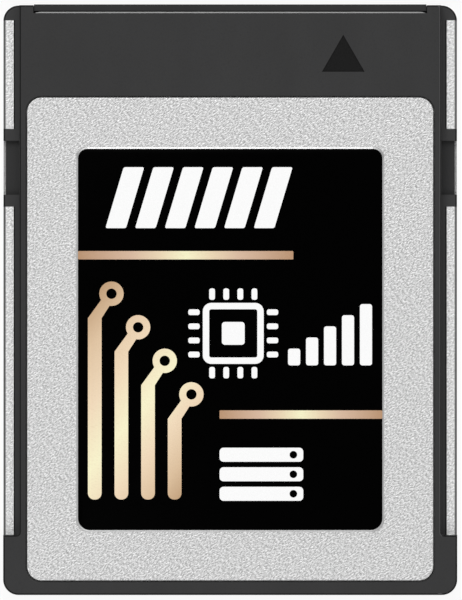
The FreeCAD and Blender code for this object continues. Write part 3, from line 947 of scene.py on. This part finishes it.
def makeTraceDiscs(name, radius, overshoot):
    # One flat disc for each trace's head, taller than the print where it has to cut through
    shape = traceShape
    piece = startPiece(name)
    across = shape["across"] + shape["jog"][0]
    addRing(across, shape["head"], radius, shape["discSegments"])
    bpy.ops.mesh.edge_face_add()
    copyAlong(shape["pitch"], shape["stagger"], shape["count"] - 1)
    bpy.ops.mesh.select_all(action="SELECT")
    bpy.ops.transform.translate(value=(0, 0, -overshoot))
    move = (0, 0, sheet["thickness"] + 2 * overshoot)
    bpy.ops.mesh.extrude_region_move(TRANSFORM_OT_translate={"value": move})
    bpy.ops.mesh.select_all(action="SELECT")
    bpy.ops.mesh.normals_make_consistent(inside=False)
    bpy.ops.object.mode_set(mode="OBJECT")
    return piece


makeTraces()
print("gold print ready")

slashShape = {
    "count": 6,
    "pitch": 1.95,
    "across": 1.8,
    "down": 1.2,
    "width": 1.35,
    "height": 4.0,
    "lean": 1.2,
    "cornerRound": 0.12 * mm,
}


def makeSlashes():
    shape = slashShape
    piece = startPiece("headSlashes")
    right, foot = shape["across"] + shape["width"], shape["down"] + shape["height"]
    addPatch(shape["across"], right, shape["down"], foot)
    topY = onSheet(0, shape["down"])[1]
    pickVertices(piece, lambda place: abs(place.y - topY) < tiny)
    bpy.ops.transform.translate(value=(shape["lean"] * sheetScale[0], 0, 0))
    bpy.ops.mesh.select_all(action="SELECT")
    roundCorners(shape["cornerRound"], 5)
    bpy.ops.mesh.select_all(action="SELECT")
    copyAlong(shape["pitch"], 0, shape["count"] - 1)
    raisePrint(piece)
    finishPiece(piece, whiteInk, ["label_white_print"])


chipShape = {
    "across": 10.2,
    "down": 12.1,
    "half": 2.0,
    "line": 0.42,
    "cornerRound": 0.55 * mm,
    "coreHalf": 0.75,
    "coreRound": 0.2 * mm,
    "pins": 4,
    "pinGap": 0.2,
    "pinLength": 0.75,
    "pinWidth": 0.38,
    "pinRound": 0.14 * mm,
}


def makeChipMark():
    shape = chipShape
    across, down, half = shape["across"], shape["down"], shape["half"]
    centre = (*onSheet(across, down), printLevel)
    piece = startPiece("chipMark")
    addPatch(across - half, across + half, down - half, down + half)
    roundCorners(shape["cornerRound"], 8)
    bpy.ops.mesh.inset(thickness=shape["line"] * sheetScale[0], depth=0)
    bpy.ops.mesh.delete(type="FACE")
    core = shape["coreHalf"]
    addPatch(across - core, across + core, down - core, down + core)
    roundCorners(shape["coreRound"], 5)
    # One side's pins, then the same turned to the other sides
    width, pins = shape["pinWidth"], shape["pins"]
    pitch = (2 * half - 2 * shape["line"] - width) / (pins - 1)
    first = across - half + shape["line"]
    top = down - half - shape["pinGap"] - shape["pinLength"]
    addPatch(first, first + width, top, top + shape["pinLength"])
    roundCorners(shape["pinRound"], 4)
    copyAlong(pitch, 0, pins - 1)
    border = onSheet(0, down - half - shape["pinGap"] / 2)[1]
    pickVertices(piece, lambda place: place.y > border)
    for _ in range(3):
        bpy.ops.mesh.duplicate()
        bpy.ops.transform.rotate(value=math.radians(90), orient_axis="Z", center_override=centre)
    raisePrint(piece)
    finishPiece(piece, whiteInk, ["label_white_print"])


levelShape = {
    "count": 5,
    "pitch": 1.18,
    "left": 13.8,
    "width": 0.8,
    "foot": 14.2,
    "lowest": 1.1,
    "rise": 0.73,
    "cornerRound": 0.16 * mm,
}


def makeLevelBars():
    shape = levelShape
    piece = startPiece("levelBars")
    for i in range(shape["count"]):
        left = shape["left"] + shape["pitch"] * i
        height = shape["lowest"] + shape["rise"] * i
        addPatch(left, left + shape["width"], shape["foot"] - height, shape["foot"])
        roundCorners(shape["cornerRound"], 5)
    raisePrint(piece)
    finishPiece(piece, whiteInk, ["label_white_print"])


plateShape = {
    "count": 3,
    "pitch": 1.28,
    "left": 9.3,
    "right": 14.8,
    "top": 19.6,
    "height": 0.92,
    "cornerRound": 0.26 * mm,
    "eyeRadius": 0.25,
    "eyeInset": 0.65,
    "eyeSegments": 24,
}


def makePlateMark():
    shape = plateShape
    piece = startPiece("plateMark")
    addPatch(shape["left"], shape["right"], shape["top"], shape["top"] + shape["height"])
    roundCorners(shape["cornerRound"], 6)
    bpy.ops.mesh.delete(type="ONLY_FACE")
    across, down = shape["right"] - shape["eyeInset"], shape["top"] + shape["height"] / 2
    addRing(across, down, shape["eyeRadius"], shape["eyeSegments"])
    bpy.ops.mesh.select_all(action="SELECT")
    bpy.ops.mesh.fill()
    bpy.ops.mesh.select_all(action="SELECT")
    copyAlong(0, shape["pitch"], shape["count"] - 1)
    raisePrint(piece)
    finishPiece(piece, whiteInk, ["label_white_print"])


makeSlashes()
makeChipMark()
makeLevelBars()
makePlateMark()
print("white print ready")

# The arrow sunk into the front bar is filled with black

arrowShape = {
    "centreX": 7.37 * mm,
    "baseY": 14.86 * mm,
    "side": 2.78 * mm,
    "fit": 0.995,               # of the sunk triangle's size
    "floor": 0.08 * mm,         # below the frame's top
    "thickness": 0.012 * mm,
}


def makeArrowFill():
    shape = arrowShape
    radius = shape["side"] / math.sqrt(3)
    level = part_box("frame")[1].z - shape["floor"]
    piece = startPiece("arrowFill")
    bpy.ops.mesh.primitive_circle_add(
        vertices=3,
        radius=radius * shape["fit"],
        fill_type="NGON",
        location=(shape["centreX"], shape["baseY"] + radius / 2, level),
    )
    bpy.ops.mesh.extrude_region_move(TRANSFORM_OT_translate={"value": (0, 0, shape["thickness"])})
    bpy.ops.mesh.select_all(action="SELECT")
    bpy.ops.mesh.normals_make_consistent(inside=False)
    return finishPiece(piece, arrowInk, [])


makeArrowFill()
print("arrow ready")

# Studio: pale floor, soft tent with a dark crown and dim sides, one soft key from the upper left

studio = {
    "keyPlace": (-0.14, 0.82, 1.15),
    "keySize": 0.7,
    "keyPower": 5.2,
    "fillPlace": (-0.08, -0.24, 0.34),
    "fillSize": 0.14,
    "fillPower": 0.12,
    "tent": [                # height of the direction looked in, and the light there
        (0.0, 0.92),
        (0.07, 0.85),
        (0.14, 0.32),
        (0.3, 0.38),
        (0.5, 0.88),
        (0.88, 0.84),
        (0.97, 0.5),
    ],
    "floorColor": 0.86,
    "floorGap": 0.02 * mm,
    "floorSize": 6.0,
    "floorGlow": 0.9,
}


def makeFloor():
    level = cadBounds[0].z - studio["floorGap"]
    bpy.ops.mesh.primitive_plane_add(size=studio["floorSize"], location=(0, 0, level))
    floor = bpy.context.object
    floor.name = "floor"
    material = bpy.data.materials.new("pale floor")
    material.use_nodes = True
    tree = material.node_tree
    shader = tree.nodes["Principled BSDF"]
    shader.inputs["Base Color"].default_value = (studio["floorColor"],) * 3 + (1,)
    shader.inputs["Roughness"].default_value = 0.9
    shader.inputs["Specular IOR Level"].default_value = 0.0
    glow = tree.nodes.new("ShaderNodeEmission")
    glow.inputs["Color"].default_value = (1, 1, 1, 1)
    glow.inputs["Strength"].default_value = 1.0
    rays = tree.nodes.new("ShaderNodeLightPath")
    seen = rays.outputs["Is Camera Ray"]
    for other in ("Is Glossy Ray", "Is Transmission Ray"):
        either = tree.nodes.new("ShaderNodeMath")
        either.operation = "MAXIMUM"
        tree.links.new(seen, either.inputs[0])
        tree.links.new(rays.outputs[other], either.inputs[1])
        seen = either.outputs[0]
    share = tree.nodes.new("ShaderNodeMath")
    share.operation = "MULTIPLY"
    share.inputs[1].default_value = studio["floorGlow"]
    tree.links.new(seen, share.inputs[0])
    blend = tree.nodes.new("ShaderNodeMixShader")
    tree.links.new(share.outputs[0], blend.inputs["Fac"])
    tree.links.new(shader.outputs["BSDF"], blend.inputs[1])
    tree.links.new(glow.outputs["Emission"], blend.inputs[2])
    tree.links.new(blend.outputs["Shader"], tree.nodes["Material Output"].inputs["Surface"])
    floor.data.materials.append(material)


def makeWorld():
    world = bpy.data.worlds.new("tent")
    bpy.context.scene.world = world
    world.use_nodes = True
    tree = world.node_tree
    background = tree.nodes["Background"]
    coordinates = tree.nodes.new("ShaderNodeTexCoord")
    split = tree.nodes.new("ShaderNodeSeparateXYZ")
    tree.links.new(coordinates.outputs["Generated"], split.inputs["Vector"])
    ramp = tree.nodes.new("ShaderNodeValToRGB")
    stops = studio["tent"]
    points = ramp.color_ramp.elements
    while len(points) < len(stops):
        points.new(0.5)
    for point, (position, level) in zip(points, stops):
        point.position = position
        point.color = (level, level, level, 1)
    tree.links.new(split.outputs["Z"], ramp.inputs["Fac"])
    tree.links.new(ramp.outputs["Color"], background.inputs["Color"])
    background.inputs["Strength"].default_value = 1.0


def makeLamp(name):
    # A square soft box that looks at the card
    bpy.ops.object.light_add(type="AREA", location=studio[name + "Place"])
    lamp = bpy.context.object
    lamp.name = name
    lamp.data.shape = "SQUARE"
    lamp.data.size = studio[name + "Size"]
    lamp.data.energy = studio[name + "Power"]
    lamp.rotation_euler = (-lamp.location).to_track_quat("-Z", "Y").to_euler()


cameraView = {
    "centre": (0.052 * mm, -0.02 * mm),
    "height": 39.106 * mm,   # of card seen from top to bottom of the picture
    "lens": 1000.0,
    "sensor": 36.0,
}


def makeCamera():
    data = bpy.data.cameras.new("camera")
    camera = bpy.data.objects.new("camera", data)
    bpy.context.scene.collection.objects.link(camera)
    data.lens = cameraView["lens"]
    data.sensor_width = cameraView["sensor"]
    away = cameraView["height"] * cameraView["lens"] / cameraView["sensor"]
    top = cadBounds[1].z
    camera.location = (*cameraView["centre"], top + away)
    bpy.context.scene.camera = camera


deselectAll()
makeFloor()
makeWorld()
makeLamp("key")
makeLamp("fill")
makeCamera()
bpy.context.scene.view_settings.view_transform = "Standard"
print("studio ready")
